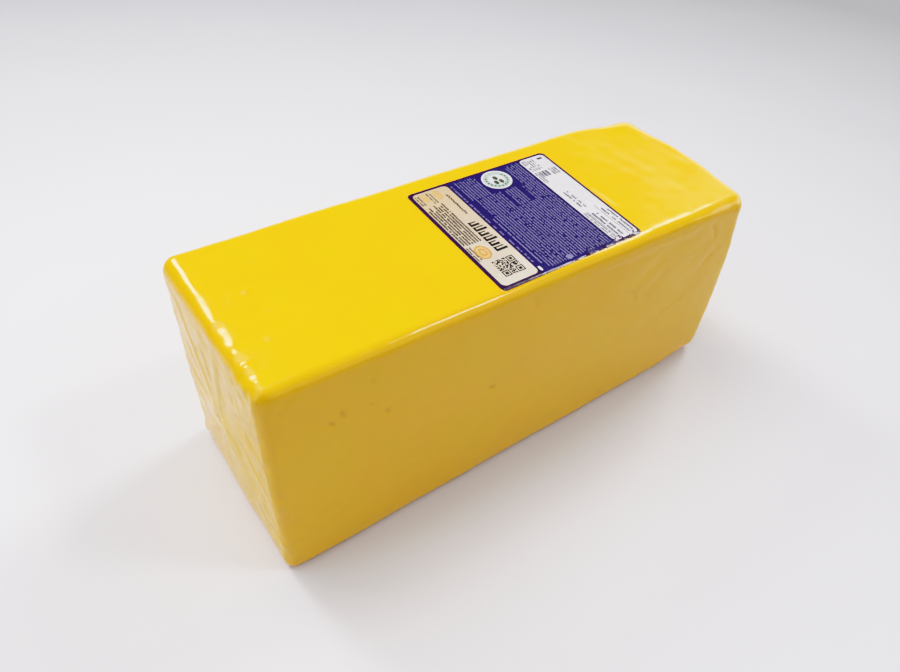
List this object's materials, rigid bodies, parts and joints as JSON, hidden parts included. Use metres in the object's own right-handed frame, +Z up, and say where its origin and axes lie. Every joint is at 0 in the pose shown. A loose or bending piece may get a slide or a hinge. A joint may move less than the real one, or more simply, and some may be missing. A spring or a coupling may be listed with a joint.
{
  "type": "gouda block",
  "caption": "Rectangular block of gouda in tight glossy yellow shrink film, gathered in pleats on its ends, with a printed label on its top.",
  "frame": {"origin": "on the surface that the block lies on, under the middle of its box", "axes": "+X along the block, from the gathered end that shows to the other end; +Y across the block, from the front to the back; +Z up"},
  "size_m": [0.3044, 0.11, 0.122],
  "materials": {
    "film": "glossy yellow shrink film, tight on the cheese",
    "label_print": "printed label in deep violet, cream and white, under a gloss"
  },
  "bodies": {
    "root": {"gouda_block": "film", "label": "label_print"}
  },
  "joints": []
}
